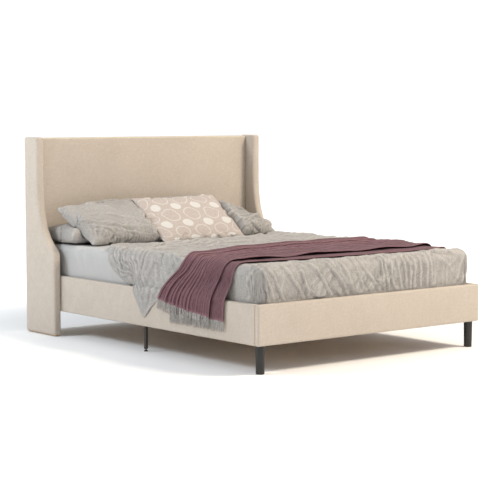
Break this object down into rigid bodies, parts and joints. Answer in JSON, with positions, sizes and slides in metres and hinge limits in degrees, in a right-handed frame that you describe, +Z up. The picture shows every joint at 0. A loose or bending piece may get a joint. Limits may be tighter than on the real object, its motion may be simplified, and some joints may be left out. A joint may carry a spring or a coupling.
{
  "type": "upholstered headboard bed",
  "caption": "Low upholstered double bed frame with a tall padded headboard between side wings, made up with mattress, duvet, fringed throw and pillows.",
  "frame": {"origin": "on the floor under the middle of the bed's bounding box", "axes": "+X to the right seen from the foot, +Y from foot to head, +Z up"},
  "size_m": [1.696, 2.155, 1.167],
  "materials": {
    "upholstery": "matte",
    "foam": "matte",
    "wood": "satin",
    "dust_cloth": "matte",
    "black_leg": "satin",
    "dark_steel": "satin",
    "black_nylon": "matte",
    "ticking": "matte",
    "white_cotton": "matte",
    "grey_linen": "matte",
    "plum_knit": "matte",
    "printed_cotton": "matte"
  },
  "bodies": {
    "frame": {"headboard_cover": "upholstery", "foot_rail_cover": "upholstery", "wing_left_cover": "upholstery", "wing_right_cover": "upholstery", "side_rail_left_cover": "upholstery", "side_rail_right_cover": "upholstery", "headboard_foam": "foam", "headboard_board": "wood", "headboard_batten_bottom": "wood", "headboard_batten_top": "wood", "foot_rail_board": "wood", "center_beam": "wood", "wing_left_core": "wood", "wing_right_core": "wood", "side_rail_left_board": "wood", "side_rail_right_board": "wood", "ledger_left": "wood", "ledger_right": "wood", "corner_block_left": "wood", "corner_block_right": "wood", "slat_01": "wood", "slat_02": "wood", "slat_03": "wood", "slat_04": "wood", "slat_05": "wood", "slat_06": "wood", "slat_07": "wood", "slat_08": "wood", "slat_09": "wood", "slat_10": "wood", "slat_11": "wood", "slat_12": "wood", "headboard_back_cloth": "dust_cloth", "front_leg_left": "black_leg", "front_leg_right": "black_leg", "mid_crossbar": "dark_steel", "mid_leg_left": "dark_steel", "mid_leg_center": "dark_steel", "mid_leg_right": "dark_steel", "beam_hanger_foot": "dark_steel", "beam_hanger_head": "dark_steel", "rail_bracket_left": "dark_steel", "rail_bracket_right": "dark_steel", "wing_left_glide_front": "black_nylon", "wing_left_glide_back": "black_nylon", "wing_right_glide_front": "black_nylon", "wing_right_glide_back": "black_nylon"},
    "mattress_set": {"mattress": "ticking", "fitted_sheet": "white_cotton", "duvet": "grey_linen"},
    "throw": {"throw": "plum_knit"},
    "scatter_cushion": {"scatter_cushion": "printed_cotton"},
    "left_pillow": {"left_pillow": "grey_linen"},
    "right_pillow": {"right_pillow": "grey_linen"},
    "rear_pillow_left": {"rear_pillow_left": "grey_linen"},
    "rear_pillow_right": {"rear_pillow_right": "grey_linen"},
    "mid_foot_left": {"mid_foot_left": "black_nylon"},
    "mid_foot_center": {"mid_foot_center": "black_nylon"},
    "mid_foot_right": {"mid_foot_right": "black_nylon"}
  },
  "joints": [
    {"name": "mattress_lift", "type": "slide", "parent": "frame", "child": "mattress_set", "axis": [0, 0, 1], "range_m": [0, 0.95]},
    {"name": "throw_lift", "type": "slide", "parent": "mattress_set", "child": "throw", "axis": [0, 0, 1], "range_m": [0, 0.5]},
    {"name": "scatter_cushion_lift", "type": "slide", "parent": "mattress_set", "child": "scatter_cushion", "axis": [0, 0, 1], "range_m": [0, 1.2]},
    {"name": "left_pillow_lift", "type": "slide", "parent": "mattress_set", "child": "left_pillow", "axis": [0, 0, 1], "range_m": [0, 0.96]},
    {"name": "right_pillow_lift", "type": "slide", "parent": "mattress_set", "child": "right_pillow", "axis": [0, 0, 1], "range_m": [0, 0.96]},
    {"name": "rear_pillow_left_lift", "type": "slide", "parent": "mattress_set", "child": "rear_pillow_left", "axis": [0, 0, 1], "range_m": [0, 0.7]},
    {"name": "rear_pillow_right_lift", "type": "slide", "parent": "mattress_set", "child": "rear_pillow_right", "axis": [0, 0, 1], "range_m": [0, 0.7]},
    {"name": "mid_foot_left_screw", "type": "slide", "parent": "frame", "child": "mid_foot_left", "axis": [0, 0, -1], "range_m": [-0.006, 0.01]},
    {"name": "mid_foot_center_screw", "type": "slide", "parent": "frame", "child": "mid_foot_center", "axis": [0, 0, -1], "range_m": [-0.006, 0.01]},
    {"name": "mid_foot_right_screw", "type": "slide", "parent": "frame", "child": "mid_foot_right", "axis": [0, 0, -1], "range_m": [-0.006, 0.01]}
  ],
  "couplings": [
    {"joint": "left_pillow_lift", "follows": "scatter_cushion_lift", "ratio": 0.8},
    {"joint": "right_pillow_lift", "follows": "scatter_cushion_lift", "ratio": 0.8},
    {"joint": "rear_pillow_left_lift", "follows": "scatter_cushion_lift", "ratio": 0.58},
    {"joint": "rear_pillow_right_lift", "follows": "scatter_cushion_lift", "ratio": 0.58}
  ]
}
